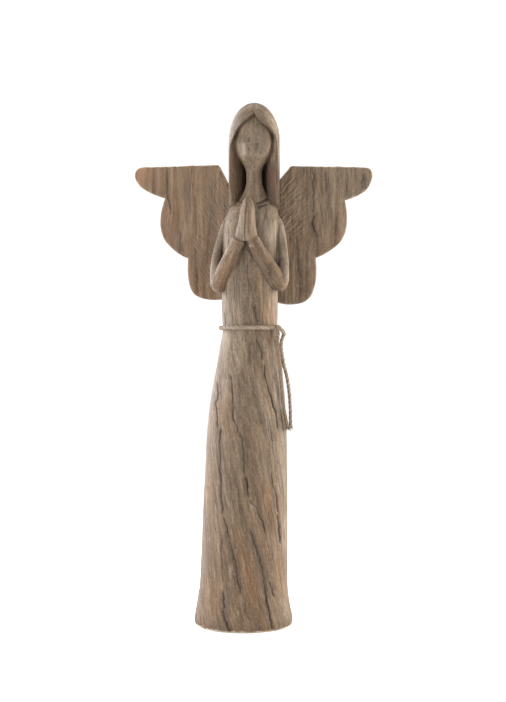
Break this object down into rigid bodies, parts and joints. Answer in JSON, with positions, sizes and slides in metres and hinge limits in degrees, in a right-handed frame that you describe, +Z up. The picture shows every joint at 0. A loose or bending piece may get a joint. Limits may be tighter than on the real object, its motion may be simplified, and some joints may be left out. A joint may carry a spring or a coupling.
{
  "type": "praying angel garden statue",
  "caption": "Slim faceless angel in a long gown, hands pressed in prayer, long hooded hair and flat scalloped wings, wood look, with a twine belt tied at the side; stands on its foot.",
  "frame": {"origin": "centre of the round foot, on the surface that the figure stands on", "axes": "+Z up from foot to crown; the figure looks along -Y; +X is the viewer's right, where the twine is tied"},
  "size_m": [0.2345, 0.0924, 0.5],
  "materials": {
    "weathered_wood": "weathered driftwood look with long grain and cracks, matt, as cast and stained resin",
    "twine": "twisted natural jute twine, matt and slightly hairy"
  },
  "bodies": {
    "root": {"angel_figure": "weathered_wood", "waist_cord": "twine", "cord_tail_front": "twine", "cord_tail_side": "twine"}
  },
  "joints": []
}
